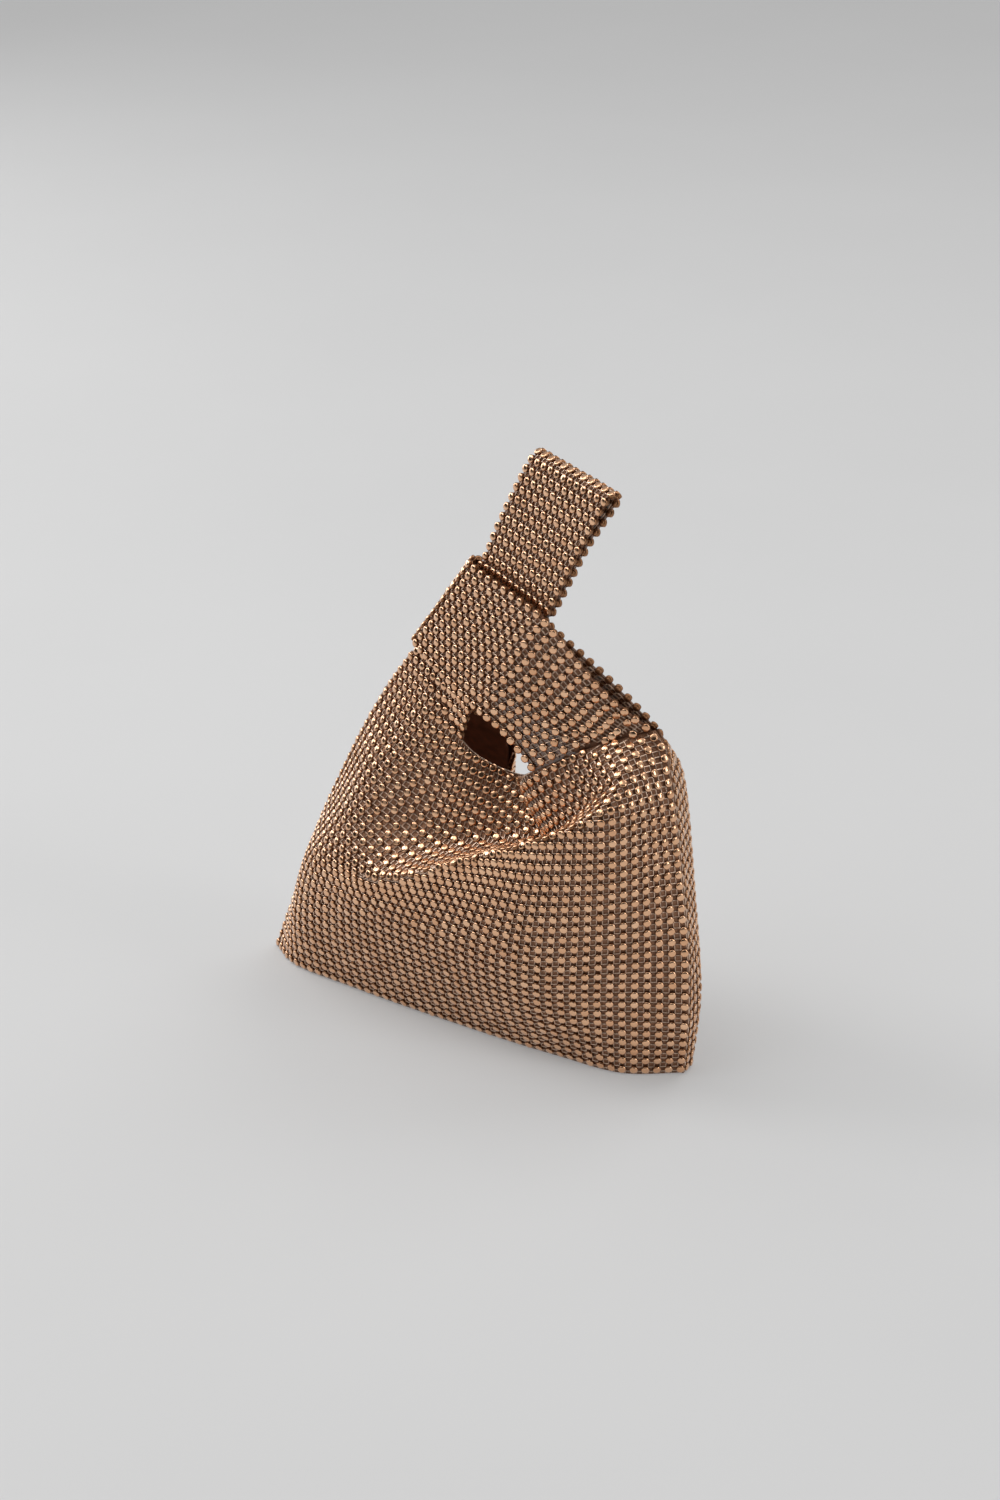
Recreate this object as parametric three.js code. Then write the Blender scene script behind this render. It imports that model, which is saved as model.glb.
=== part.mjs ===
// Wrist bag of rhinestone mesh: a sack of two panels on a narrow flat base, with a long strap loop
// drawn through a short one. Lengths in mm. The bag stands on z = 0, its front looks to -Y, +Z is up.

import * as THREE from 'three';

// Cloth and wall sizes
const STONE_PITCH = 4.5;
const PANEL_STONES = 46;
const STRAP_STONES = 12;
const WALL = 2.0;
const LINING_WALL = 1.0;
const BASE_WALL = 2.0;
const JOINT_GAP = 0.3;
const LINING_GAP = 1.7;
const SEAM_CLEARANCE = 2.0;
const LINING_TOP_LEVEL = 0.95;

// Cloth places across a panel, measured from its middle
const HALF_CLOTH = (PANEL_STONES * STONE_PITCH) / 2;
const STRAP_WIDTH = STRAP_STONES * STONE_PITCH;
const NECK_PLACE = HALF_CLOTH - STRAP_WIDTH;
const STRAP_PLACE = HALF_CLOTH - STRAP_WIDTH / 2;
const STATION_PLACES = [
  -HALF_CLOTH, -STRAP_PLACE, -NECK_PLACE, 0, NECK_PLACE, STRAP_PLACE, HALF_CLOTH,
];

// Mesh steps
const STRAP_STEPS = 8;
const NECK_STEPS = 12;
const PANEL_ROWS = 22;
const LINING_ROWS = 14;

// Side seams, a row for each rib: level up the cloth, the two seam points, half opening between panels
const SEAM_RIBS = [
  { rib: 'foot', level: 0.0, left: [-105.5, -1.5, 0], right: [91, 4, 0], open: 0.25 },
  { rib: 'low', level: 0.2, left: [-94, 0, 30], right: [96.5, -2.5, 30], open: 0.25 },
  { rib: 'belly', level: 0.4, left: [-82, 0, 61], right: [95.5, -3, 64], open: 0.25 },
  { rib: 'ridge', level: 0.58, left: [-70, 0, 87], right: [90, -4, 112], open: 0.25 },
  { rib: 'tuck', level: 0.74, left: [-58, 0, 110], right: [87, -3, 125], open: 0.25 },
  { rib: 'rise', level: 0.87, left: [-47, 0, 128], right: [83.5, -1, 134], open: 0.35 },
  { rib: 'top', level: 1.0, left: [-34, 0, 144.5], right: [78, 0, 139], open: 2.4 },
];

// Front panel ribs: it leans out to a slanting ridge, falls in above it and gathers in a dart at the neck.
// A low ease makes the turn at that rib sharper.
const FRONT_RIBS = [
  { rib: 'foot', ease: 1, strapL: [-86, -12.5, 0], neckL: [-58, -14.5, 0], dart: [-8, -15.5, 0],
    neckR: [43, -14, 0], strapR: [71, -11, 0] },
  { rib: 'low', ease: 1, strapL: [-79, -20, 29], neckL: [-53, -26, 28.5], dart: [-4, -29, 28],
    neckR: [47, -28, 28], strapR: [73, -17.5, 29] },
  { rib: 'belly', ease: 1, strapL: [-68, -24, 57], neckL: [-44, -34, 56], dart: [2, -38, 55.5],
    neckR: [52.5, -35, 58], strapR: [77, -22.5, 61] },
  { rib: 'ridge', ease: 0.55, strapL: [-52, -25, 75], neckL: [-28, -36, 68], dart: [25, -38, 89],
    neckR: [58, -36, 105], strapR: [78, -30, 115] },
  { rib: 'tuck', ease: 0.8, strapL: [-38, -21, 97], neckL: [-13, -22, 85], dart: [31, -15.5, 89],
    neckR: [50, -20.5, 101], strapR: [74, -22, 126] },
  { rib: 'rise', ease: 1, strapL: [-26, -15, 114], neckL: [-6, -17, 103], dart: [25, -8.5, 98],
    neckR: [37.5, -17, 107], strapR: [68, -17, 130] },
  { rib: 'top', ease: 1, strapL: [-16, -10, 134.5], neckL: [-2.5, -12, 119], dart: [18, -3, 107],
    neckR: [33, -17.5, 116], strapR: [60.5, -12, 133.3] },
];

// Back panel ribs: a plain belly and a lower neckline
const BACK_RIBS = [
  { rib: 'foot', ease: 1, strapL: [-86, 13, 0], neckL: [-56, 16, 0], dart: [-2, 17.5, 0],
    neckR: [48, 17.5, 0], strapR: [85, 13.5, 0] },
  { rib: 'low', ease: 1, strapL: [-80, 19, 30], neckL: [-51, 27, 29], dart: [1, 30, 28],
    neckR: [52, 28, 29], strapR: [86.5, 18, 30] },
  { rib: 'belly', ease: 1, strapL: [-68, 24, 59], neckL: [-43, 35, 57], dart: [3, 39, 55],
    neckR: [53, 35, 60], strapR: [81.5, 21.5, 64] },
  { rib: 'ridge', ease: 1, strapL: [-52, 23, 85], neckL: [-28, 32, 84], dart: [2, 36, 71],
    neckR: [54, 32, 98], strapR: [78, 19, 110] },
  { rib: 'tuck', ease: 1, strapL: [-38, 19, 107], neckL: [-13, 26, 100], dart: [-2, 31, 78],
    neckR: [50, 27, 109], strapR: [75, 15, 124] },
  { rib: 'rise', ease: 1, strapL: [-27, 13, 122], neckL: [-4, 19, 111], dart: [-4, 27, 83],
    neckR: [43, 20, 114], strapR: [69, 11, 131] },
  { rib: 'top', ease: 1, strapL: [-17, 9, 136], neckL: [3, 13, 120], dart: [-6, 23, 88],
    neckR: [32, 14, 114], strapR: [57, 10, 129] },
];

// Strap loops, a row for each place up the loop: the two edges of the front layer, the same edges of the
// back layer, an ease for the turn there and the mesh steps below the row. The long loop's first edge is its
// left one; the short loop's first edge is its lower one. A turn is how far a loop's fold stands out, as a
// share of the distance between its layers.
const LONG_LOOP = [
  { place: 'low', front: [[-27, -2.8, 150], [4, -16, 133]],
    back: [[-25.3, 1.8, 149], [5.7, -11.2, 132]], ease: 0.4, steps: 4 },
  { place: 'high', front: [[1, -4.8, 190], [43, -19.5, 182.5]],
    back: [[2.5, -0.2, 189], [44.2, -14.7, 181.4]], ease: 0.5, steps: 5 },
  { place: 'mid', front: [[10.7, -2, 214.3], [56.5, -19, 209.4]],
    back: [[12.4, 2.4, 213.1], [58.2, -14.6, 208.2]], ease: 1, steps: 3 },
  { place: 'top', front: [[20.8, 1, 233.9], [69.5, -19, 231.6]],
    back: [[22.5, 5.4, 232.7], [71.2, -14.6, 230.4]], ease: 0.45, steps: 3 },
];
const LONG_TURN = 0.35;
const SHORT_LOOP = [
  { place: 'shoulder', front: [[22.3, -20.3, 128.8], [64, -12, 153]],
    back: [[28, 0, 131], [66.5, -3, 152.3]], ease: 1, steps: 5 },
  { place: 'right', front: [[13.6, -22.5, 135], [42.2, -22.6, 182.4]],
    back: [[19.5, -10, 140], [42.3, -11.5, 173.3]], ease: 0.2, steps: 4 },
  { place: 'left', front: [[-31, -5.9, 150.2], [-1.5, -7.8, 189.8]],
    back: [[-26, 4.8, 151.6], [0.6, 2.9, 186.4]], ease: 0.2, steps: 5 },
];
const SHORT_TURN = 0.3;
const TURN_STEPS = 4;

// Vectors
const add = (a, b) => [a[0] + b[0], a[1] + b[1], a[2] + b[2]];
const sub = (a, b) => [a[0] - b[0], a[1] - b[1], a[2] - b[2]];
const scale = (a, k) => [a[0] * k, a[1] * k, a[2] * k];
const dot = (a, b) => a[0] * b[0] + a[1] * b[1] + a[2] * b[2];
const cross = (a, b) => [
  a[1] * b[2] - a[2] * b[1],
  a[2] * b[0] - a[0] * b[2],
  a[0] * b[1] - a[1] * b[0],
];
const length = (a) => Math.sqrt(dot(a, a));
const unit = (a) => scale(a, 1 / length(a));
const mix = (a, b, f) => add(scale(a, 1 - f), scale(b, f));

// A smooth curve through points at rising knots; ease scales the slope at each point
function smoothCurve(knots, points, ease) {
  const last = points.length - 1;
  const chord = points.slice(1).map((p, i) => scale(sub(p, points[i]), 1 / (knots[i + 1] - knots[i])));
  const slopes = points.map((p, i) => {
    if (i === 0 || i === last) return scale(chord[i === 0 ? 0 : last - 1], ease[i]);
    const before = knots[i] - knots[i - 1];
    const after = knots[i + 1] - knots[i];
    return scale(mix(chord[i], chord[i - 1], after / (before + after)), ease[i]);
  });
  return (t) => {
    let i = 0;
    while (i < last - 1 && t >= knots[i + 1]) i += 1;
    const span = knots[i + 1] - knots[i];
    const f = (t - knots[i]) / span;
    const g = 1 - f;
    const body = add(scale(points[i], (1 + 2 * f) * g * g), scale(points[i + 1], f * f * (3 - 2 * f)));
    const bend = sub(scale(slopes[i], f * g * g), scale(slopes[i + 1], f * f * g));
    return add(body, scale(bend, span));
  };
}

// Outer face of a panel as a function of level up the cloth and place across it
function panelSurface(ribs, facing) {
  const levels = SEAM_RIBS.map((row) => row.level);
  const ease = ribs.map((row) => row.ease);
  const seam = (name) => SEAM_RIBS.map((row) => add(row[name], [0, facing * row.open, 0]));
  const inner = ['strapL', 'neckL', 'dart', 'neckR', 'strapR'].map((name) => ribs.map((row) => row[name]));
  const columns = [seam('left'), ...inner, seam('right')].map((points) => smoothCurve(levels, points, ease));
  const plainEase = STATION_PLACES.map(() => 1);
  return (level, places) => {
    const rib = smoothCurve(STATION_PLACES, columns.map((column) => column(level)), plainEase);
    return places.map((place) => rib(place));
  };
}

function steps(from, to, count) {
  return Array.from({ length: count + 1 }, (_, i) => from + ((to - from) * i) / count);
}

const PLACES = [
  ...steps(-HALF_CLOTH, -NECK_PLACE, STRAP_STEPS),
  ...steps(-NECK_PLACE, NECK_PLACE, NECK_STEPS).slice(1, -1),
  ...steps(NECK_PLACE, HALF_CLOTH, STRAP_STEPS),
];
const FRONT = -1;
const BACK = 1;
const frontSurface = panelSurface(FRONT_RIBS, FRONT);
const backSurface = panelSurface(BACK_RIBS, BACK);

// Inward wall directions of a grid of rows and columns, from its own slopes
function inwardDirections(grid, sense) {
  const lastRow = grid.length - 1;
  return grid.map((row, j) => row.map((_, i) => {
    const lastColumn = row.length - 1;
    const along = sub(row[Math.min(i + 1, lastColumn)], row[Math.max(i - 1, 0)]);
    const up = sub(grid[Math.min(j + 1, lastRow)][i], grid[Math.max(j - 1, 0)][i]);
    return scale(unit(cross(along, up)), sense);
  }));
}

// At a side seam the wall turns toward the middle of the bag, so that front and back edges stay apart
function turnSeamWalls(walls, own, other) {
  const lastColumn = own[0].length - 1;
  own.forEach((row, j) => {
    [[0, 1], [lastColumn, -1]].forEach(([i, middle]) => {
      const half = Math.abs(row[i][1] - other[j][i][1]) / 2;
      const lean = Math.min(Math.max((half - JOINT_GAP / 2) / WALL, 0), 1);
      walls[j][i] = unit(mix([middle, 0, 0], walls[j][i], lean));
    });
  });
}

// The wall is cut level at the foot, where the panel stands on the ground
function levelFoot(walls) {
  walls[0] = walls[0].map((wall) => unit([wall[0], wall[1], 0]));
}

const LEVELS = steps(0, 1, PANEL_ROWS);
const frontGrid = LEVELS.map((level) => frontSurface(level, PLACES));
const backGrid = LEVELS.map((level) => backSurface(level, PLACES));
const frontWalls = inwardDirections(frontGrid, -1);
const backWalls = inwardDirections(backGrid, 1);
[[frontWalls, frontGrid, backGrid], [backWalls, backGrid, frontGrid]].forEach(([walls, own, other]) => {
  turnSeamWalls(walls, own, other);
  levelFoot(walls);
});

// Outer face of a strap loop, from its front base over the turn to its back base
function loopGrid(rows, roundness, frontBase, backBase) {
  const middle = (line) => scale(add(line[0], line[line.length - 1]), 0.5);
  const shares = steps(0, 1, STRAP_STEPS);
  const line = ([first, second]) => shares.map((share) => mix(first, second, share));
  const [before, end] = rows.slice(-2);
  const run = sub(middle(end.front), middle(before.front));
  const across = unit(sub(end.front[1], end.front[0]));
  const onward = unit(sub(run, scale(across, dot(run, across))));
  const turn = line(end.front).map((p, i) => {
    const q = line(end.back)[i];
    return add(mix(p, q, 0.5), scale(onward, length(sub(q, p)) * roundness));
  });
  const fronts = rows.map((row) => line(row.front));
  const backs = rows.map((row) => line(row.back)).reverse();
  const net = [frontBase, ...fronts, turn, ...backs, backBase];
  const rowEase = rows.map((row) => row.ease);
  const ease = [1, ...rowEase, 1, ...[...rowEase].reverse(), 1];
  const counts = [...rows.map((row) => row.steps), TURN_STEPS];
  const knots = [0];
  net.slice(1).forEach((p, k) => knots.push(knots[k] + length(sub(middle(p), middle(net[k])))));
  const times = [0];
  [...counts, ...[...counts].reverse()].forEach((count, k) => {
    times.push(...steps(knots[k], knots[k + 1], count).slice(1));
  });
  const columns = shares.map((_, i) => smoothCurve(knots, net.map((p) => p[i]), ease));
  return times.map((t) => columns.map((column) => column(t)));
}

// A strap loop sewn to the top edges of both panels; its ends share the slant of the panels' top walls
function strapLoop(rows, roundness, firstColumn) {
  const top = PANEL_ROWS;
  const take = (grid) => grid[top].slice(firstColumn, firstColumn + STRAP_STEPS + 1);
  const grid = loopGrid(rows, roundness, take(frontGrid), take(backGrid));
  const walls = inwardDirections(grid, -1);
  const last = grid.length - 1;
  [[0, 1, frontWalls], [last, last - 1, backWalls]].forEach(([end, next, panelWalls]) => {
    for (let i = 0; i <= STRAP_STEPS; i += 1) {
      const slant = unit(add(walls[end][i], panelWalls[top][firstColumn + i]));
      walls[end][i] = slant;
      panelWalls[top][firstColumn + i] = slant;
      const run = unit(sub(grid[next][i], grid[end][i]));
      grid[end][i] = add(grid[end][i], scale(run, JOINT_GAP));
    }
  });
  return { grid, walls };
}

const longLoop = strapLoop(LONG_LOOP, LONG_TURN, 0);
const shortLoop = strapLoop(SHORT_LOOP, SHORT_TURN, STRAP_STEPS + NECK_STEPS);

// The inner face of a wall of that depth
function offsetGrid(grid, walls, depth) {
  return grid.map((row, j) => row.map((p, i) => add(p, scale(walls[j][i], depth))));
}

// Closed solid between two grids of the same size; ring grids close around their columns
function slabGeometry(outer, inner, { ring = false, flip = false, floor = false } = {}) {
  const rows = outer.length;
  const columns = outer[0].length;
  const points = [...outer.flat(), ...inner.flat()];
  const faces = [];
  const face = (a, b, c) => faces.push(...(flip ? [a, c, b] : [a, b, c]));
  const quad = (a, b, c, d) => {
    face(a, b, c);
    face(a, c, d);
  };
  const out = (j, i) => j * columns + (i % columns);
  const into = (j, i) => rows * columns + out(j, i);
  const spans = ring ? columns : columns - 1;
  for (let j = 0; j < rows - 1; j += 1) {
    for (let i = 0; i < spans; i += 1) {
      quad(out(j, i), out(j, i + 1), out(j + 1, i + 1), out(j + 1, i));
      quad(into(j, i), into(j + 1, i), into(j + 1, i + 1), into(j, i + 1));
    }
    if (!ring) {
      quad(out(j, 0), out(j + 1, 0), into(j + 1, 0), into(j, 0));
      quad(out(j, spans), into(j, spans), into(j + 1, spans), out(j + 1, spans));
    }
  }
  for (let i = 0; i < spans; i += 1) {
    const top = rows - 1;
    quad(out(top, i), out(top, i + 1), into(top, i + 1), into(top, i));
    if (!floor) quad(out(0, i), into(0, i), into(0, i + 1), out(0, i + 1));
  }
  if (floor) {
    [[outer, out, false], [inner, into, true]].forEach(([grid, index, up]) => {
      const centre = points.length;
      points.push(scale(grid[0].reduce(add), 1 / columns));
      for (let i = 0; i < spans; i += 1) {
        if (up) face(centre, index(0, i), index(0, i + 1));
        else face(centre, index(0, i + 1), index(0, i));
      }
    });
  }
  const geometry = new THREE.BufferGeometry();
  geometry.setAttribute('position', new THREE.Float32BufferAttribute(points.flat(), 3));
  geometry.setIndex(faces);
  geometry.computeVertexNormals();
  return geometry;
}

// Rings of the lining: the panels' inner faces drawn in, closed at both seams
function liningRing(level, depth) {
  const row = Math.min(Math.floor(level * PANEL_ROWS), PANEL_ROWS - 1);
  const share = level * PANEL_ROWS - row;
  const wallAt = (walls, i) => unit(mix(walls[row][i], walls[row + 1][i], share));
  const front = frontSurface(level, PLACES);
  const back = backSurface(level, PLACES);
  const last = PLACES.length - 1;
  const draw = (line, walls) => line.map((p, i) => add(p, scale(wallAt(walls, i), depth)));
  const inset = depth + SEAM_CLEARANCE;
  const seam = (i, middle) => add(mix(front[i], back[i], 0.5), [middle * inset, 0, 0]);
  const inFront = draw(front, frontWalls).slice(1, last);
  const inBack = draw(back, backWalls).slice(1, last).reverse();
  return [seam(0, 1), ...inFront, seam(last, -1), ...inBack];
}

function liningGeometry() {
  const levels = steps(0, LINING_TOP_LEVEL, LINING_ROWS);
  const layer = (depth, floorHeight) => levels.map((level, j) => {
    const ring = liningRing(level, depth);
    return j === 0 ? ring.map((p) => [p[0], p[1], floorHeight]) : ring;
  });
  const outside = WALL + LINING_GAP;
  const floorHeight = BASE_WALL + JOINT_GAP;
  const outer = layer(outside, floorHeight);
  const inner = layer(outside + LINING_WALL, floorHeight + LINING_WALL);
  return slabGeometry(outer, inner, { ring: true, floor: true });
}

// Flat base between the feet of the panels
function baseGeometry() {
  const ring = liningRing(0, WALL + 2 * JOINT_GAP);
  const outline = new THREE.Shape(ring.map((p) => new THREE.Vector2(p[0], p[1])));
  return new THREE.ExtrudeGeometry(outline, { depth: BASE_WALL, bevelEnabled: false });
}

const meshCloth = { color: 0x9a6b50, metalness: 0.7, roughness: 0.35 };
const satin = { color: 0x4a2a1c, metalness: 0.0, roughness: 0.6 };

function piece(name, geometry, finish) {
  const mesh = new THREE.Mesh(geometry, new THREE.MeshStandardMaterial(finish));
  mesh.name = name;
  return mesh;
}

// A sewn wall of stone mesh
function walled({ grid, walls }, options) {
  return slabGeometry(grid, offsetGrid(grid, walls, WALL), options);
}

const frontPanel = { grid: frontGrid, walls: frontWalls };
const backPanel = { grid: backGrid, walls: backWalls };

const bag = new THREE.Group();
bag.name = 'rhinestone_wrist_bag';
bag.add(
  piece('front_panel', walled(frontPanel), meshCloth),
  piece('back_panel', walled(backPanel, { flip: true }), meshCloth),
  piece('base_panel', baseGeometry(), meshCloth),
  piece('lining', liningGeometry(), satin),
  piece('long_handle', walled(longLoop), meshCloth),
  piece('short_handle', walled(shortLoop), meshCloth),
);

export default bag;
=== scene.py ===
"""Rhinestone wrist bag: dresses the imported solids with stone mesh, net, cloth, lining and a stage."""

import math

import bpy
import numpy as np
from bpy.props import FloatProperty, FloatVectorProperty, IntProperty, PointerProperty
from mathutils import Matrix, Vector, kdtree


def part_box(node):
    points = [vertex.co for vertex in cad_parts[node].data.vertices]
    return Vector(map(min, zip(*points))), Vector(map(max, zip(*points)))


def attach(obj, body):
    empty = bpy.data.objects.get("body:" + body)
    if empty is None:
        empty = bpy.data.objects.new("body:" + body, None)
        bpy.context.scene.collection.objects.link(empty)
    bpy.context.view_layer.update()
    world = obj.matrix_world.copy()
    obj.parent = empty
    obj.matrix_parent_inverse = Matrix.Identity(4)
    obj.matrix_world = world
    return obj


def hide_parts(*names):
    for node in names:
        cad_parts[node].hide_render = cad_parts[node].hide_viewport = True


bl_info = {
    "name": "Rhinestone Wrist Bag",
    "version": (1, 0, 0),
    "blender": (4, 5, 0),
    "location": "View3D > Sidebar > Wrist Bag",
    "description": "Builds the stone mesh, lining and stage of a knotted wrist bag",
    "category": "Object",
}

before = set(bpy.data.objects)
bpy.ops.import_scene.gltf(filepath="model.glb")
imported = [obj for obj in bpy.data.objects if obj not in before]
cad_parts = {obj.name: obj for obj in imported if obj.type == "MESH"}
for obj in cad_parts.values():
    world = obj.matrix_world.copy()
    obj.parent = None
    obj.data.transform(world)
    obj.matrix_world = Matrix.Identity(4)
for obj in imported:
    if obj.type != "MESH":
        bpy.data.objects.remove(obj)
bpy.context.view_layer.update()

MM = 0.001
BODY = "root"
MESH_SLOT = "stone_mesh"
LINING_SLOT = "lining_satin"

# Cloth sizes in mm, as in the part's source
STONE_PITCH = 4.5
PANEL_STONES = 46
STRAP_STONES = 12
HALF_CLOTH = PANEL_STONES * STONE_PITCH / 2
STRAP_WIDTH = STRAP_STONES * STONE_PITCH
NECK_PLACE = HALF_CLOTH - STRAP_WIDTH
STRAP_PLACE = HALF_CLOTH - STRAP_WIDTH / 2
STATIONS = (-HALF_CLOTH, -STRAP_PLACE, -NECK_PLACE, 0, NECK_PLACE, STRAP_PLACE, HALF_CLOTH)
WALL = 2.0
LINING_GAP = 1.7
LINING_THICKNESS = 0.6
LINING_TOP_LEVEL = 0.95
SEAM_CLEARANCE = 2.0
BASE_WALL = 2.0
JOINT_GAP = 0.3

# Side seams, a row for each rib: level, left point, right point, half opening
SEAM_RIBS = (
    (0.00, (-105.5, -1.5, 0), (91, 4, 0), 0.25),
    (0.20, (-94, 0, 30), (96.5, -2.5, 30), 0.25),
    (0.40, (-82, 0, 61), (95.5, -3, 64), 0.25),
    (0.58, (-70, 0, 87), (90, -4, 112), 0.25),
    (0.74, (-58, 0, 110), (87, -3, 125), 0.25),
    (0.87, (-47, 0, 128), (83.5, -1, 134), 0.35),
    (1.00, (-34, 0, 144.5), (78, 0, 139), 2.4),
)

# Panel ribs, a row for each level: ease, left strap, left neck, dart, right neck, right strap
FRONT_RIBS = (
    (1.0, (-86, -12.5, 0), (-58, -14.5, 0), (-8, -15.5, 0), (43, -14, 0), (71, -11, 0)),
    (1.0, (-79, -20, 29), (-53, -26, 28.5), (-4, -29, 28), (47, -28, 28), (73, -17.5, 29)),
    (1.0, (-68, -24, 57), (-44, -34, 56), (2, -38, 55.5), (52.5, -35, 58), (77, -22.5, 61)),
    (0.55, (-52, -25, 75), (-28, -36, 68), (25, -38, 89), (58, -36, 105), (78, -30, 115)),
    (0.8, (-38, -21, 97), (-13, -22, 85), (31, -15.5, 89), (50, -20.5, 101), (74, -22, 126)),
    (1.0, (-26, -15, 114), (-6, -17, 103), (25, -8.5, 98), (37.5, -17, 107), (68, -17, 130)),
    (1.0, (-16, -10, 134.5), (-2.5, -12, 119), (18, -3, 107), (33, -17.5, 116), (60.5, -12, 133.3)),
)
BACK_RIBS = (
    (1.0, (-86, 13, 0), (-56, 16, 0), (-2, 17.5, 0), (48, 17.5, 0), (85, 13.5, 0)),
    (1.0, (-80, 19, 30), (-51, 27, 29), (1, 30, 28), (52, 28, 29), (86.5, 18, 30)),
    (1.0, (-68, 24, 59), (-43, 35, 57), (3, 39, 55), (53, 35, 60), (81.5, 21.5, 64)),
    (1.0, (-52, 23, 85), (-28, 32, 84), (2, 36, 71), (54, 32, 98), (78, 19, 110)),
    (1.0, (-38, 19, 107), (-13, 26, 100), (-2, 31, 78), (50, 27, 109), (75, 15, 124)),
    (1.0, (-27, 13, 122), (-4, 19, 111), (-4, 27, 83), (43, 20, 114), (69, 11, 131)),
    (1.0, (-17, 9, 136), (3, 13, 120), (-6, 23, 88), (32, 14, 114), (57, 10, 129)),
)

# Strap loops, a row for each place: two edges of the front layer, the same of the back layer, ease
LONG_LOOP = (
    (((-27, -2.8, 150), (4, -16, 133)), ((-25.3, 1.8, 149), (5.7, -11.2, 132)), 0.4),
    (((1, -4.8, 190), (43, -19.5, 182.5)), ((2.5, -0.2, 189), (44.2, -14.7, 181.4)), 0.5),
    (((10.7, -2, 214.3), (56.5, -19, 209.4)), ((12.4, 2.4, 213.1), (58.2, -14.6, 208.2)), 1.0),
    (((20.8, 1, 233.9), (69.5, -19, 231.6)), ((22.5, 5.4, 232.7), (71.2, -14.6, 230.4)), 0.45),
)
LONG_FOLD = 0.35
SHORT_LOOP = (
    (((22.3, -20.3, 128.8), (64, -12, 153)), ((28, 0, 131), (66.5, -3, 152.3)), 1.0),
    (((13.6, -22.5, 135), (42.2, -22.6, 182.4)), ((19.5, -10, 140), (42.3, -11.5, 173.3)), 0.2),
    (((-31, -5.9, 150.2), (-1.5, -7.8, 189.8)), ((-26, 4.8, 151.6), (0.6, 2.9, 186.4)), 0.2),
)
SHORT_FOLD = 0.3
FRONT, BACK = -1, 1

# The net has two cells to a stone, and its drawing four steps to a stone
STEPS_PER_STONE = 4
STEP = STONE_PITCH / STEPS_PER_STONE
STONE_STEP = 2
LEAST_DRAW = 0.78
FINE_LEVELS = 241
FINE_PLACES = 415
FINE_LOOP = 480
FINE_RUN = 120
GROUND_LEVELS, GROUND_PLACES = 139, 93
STRAP_GROUND_ROWS, STRAP_GROUND_PLACES = 120, 25
BASE_GROUND_ROWS, BASE_GROUND_PLACES = 9, 61
LINING_LEVELS, LINING_PLACES = 44, 70
LINING_FLOOR_SHARES = (0.02, 0.35, 0.7)
BORDER_PLACES = 61
TOP_LEVELS = (0.985, 1.0)


def unit(vectors):
    """Vectors of length one along the last axis."""
    return vectors / np.maximum(np.linalg.norm(vectors, axis=-1, keepdims=True), 1e-12)


def smooth_curve(knots, points, ease, at):
    """Points at the places asked for on a smooth curve through points at rising knots."""
    knots, points = np.asarray(knots, float), np.asarray(points, float)
    wide = (-1,) + (1,) * (points.ndim - 1)
    span = np.diff(knots)
    chord = np.diff(points, axis=0) / span.reshape(wide)
    share = (span[1:] / (span[:-1] + span[1:])).reshape(wide)
    slope = np.empty_like(points)
    slope[0], slope[-1] = chord[0], chord[-1]
    slope[1:-1] = chord[:-1] * share + chord[1:] * (1 - share)
    slope = slope * np.asarray(ease, float).reshape(wide)
    at = np.asarray(at, float)
    i = np.clip(np.searchsorted(knots, at, side="right") - 1, 0, len(knots) - 2)
    f = ((at - knots[i]) / span[i]).reshape(wide)
    g = 1 - f
    body = points[i] * (1 + 2 * f) * g * g + points[i + 1] * f * f * (3 - 2 * f)
    bend = slope[i] * f * g * g - slope[i + 1] * f * f * g
    return body + bend * span[i].reshape(wide)


def panel_face(ribs, facing, levels, places):
    """Outer face of a panel, levels by places."""
    net = []
    for (_, left, right, opened), (_, *inner) in zip(SEAM_RIBS, ribs):
        apart = np.array((0, facing * opened, 0))
        net.append([np.array(left) + apart, *map(np.array, inner), np.array(right) + apart])
    up = smooth_curve([row[0] for row in SEAM_RIBS], np.array(net), [row[0] for row in ribs], levels)
    across = smooth_curve(STATIONS, up.swapaxes(0, 1), np.ones(len(STATIONS)), places)
    return across.swapaxes(0, 1)


def loop_face(rows, roundness, first_place, shares, count):
    """Outer face of a strap loop from its front base over the fold to its back base, and the fold's row."""
    places = first_place + shares * STRAP_WIDTH
    line = lambda edges: np.array(edges[0]) + shares[:, None] * (np.array(edges[1]) - np.array(edges[0]))
    middle = lambda row: (row[0] + row[-1]) / 2
    fronts = [line(row[0]) for row in rows]
    backs = [line(row[1]) for row in rows]
    run = middle(fronts[-1]) - middle(fronts[-2])
    across = unit(fronts[-1][-1] - fronts[-1][0])
    onward = unit(run - across * (run @ across))
    apart = np.linalg.norm(backs[-1] - fronts[-1], axis=1, keepdims=True)
    fold = (fronts[-1] + backs[-1]) / 2 + onward * apart * roundness
    front_base = panel_face(FRONT_RIBS, FRONT, [1.0], places)[0]
    back_base = panel_face(BACK_RIBS, BACK, [1.0], places)[0]
    net = np.array([front_base, *fronts, fold, *backs[::-1], back_base])
    eases = [row[2] for row in rows]
    ease = [1.0, *eases, 1.0, *eases[::-1], 1.0]
    ends = np.array([middle(row) for row in net])
    knots = np.concatenate([[0], np.cumsum(np.linalg.norm(np.diff(ends, axis=0), axis=1))])
    fold_knot = knots[len(rows) + 1]
    half = count // 2
    times = np.concatenate([
        np.linspace(0, fold_knot, half + 1),
        np.linspace(fold_knot, knots[-1], half + 1)[1:],
    ])
    return smooth_curve(knots, net, ease, times), half


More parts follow.
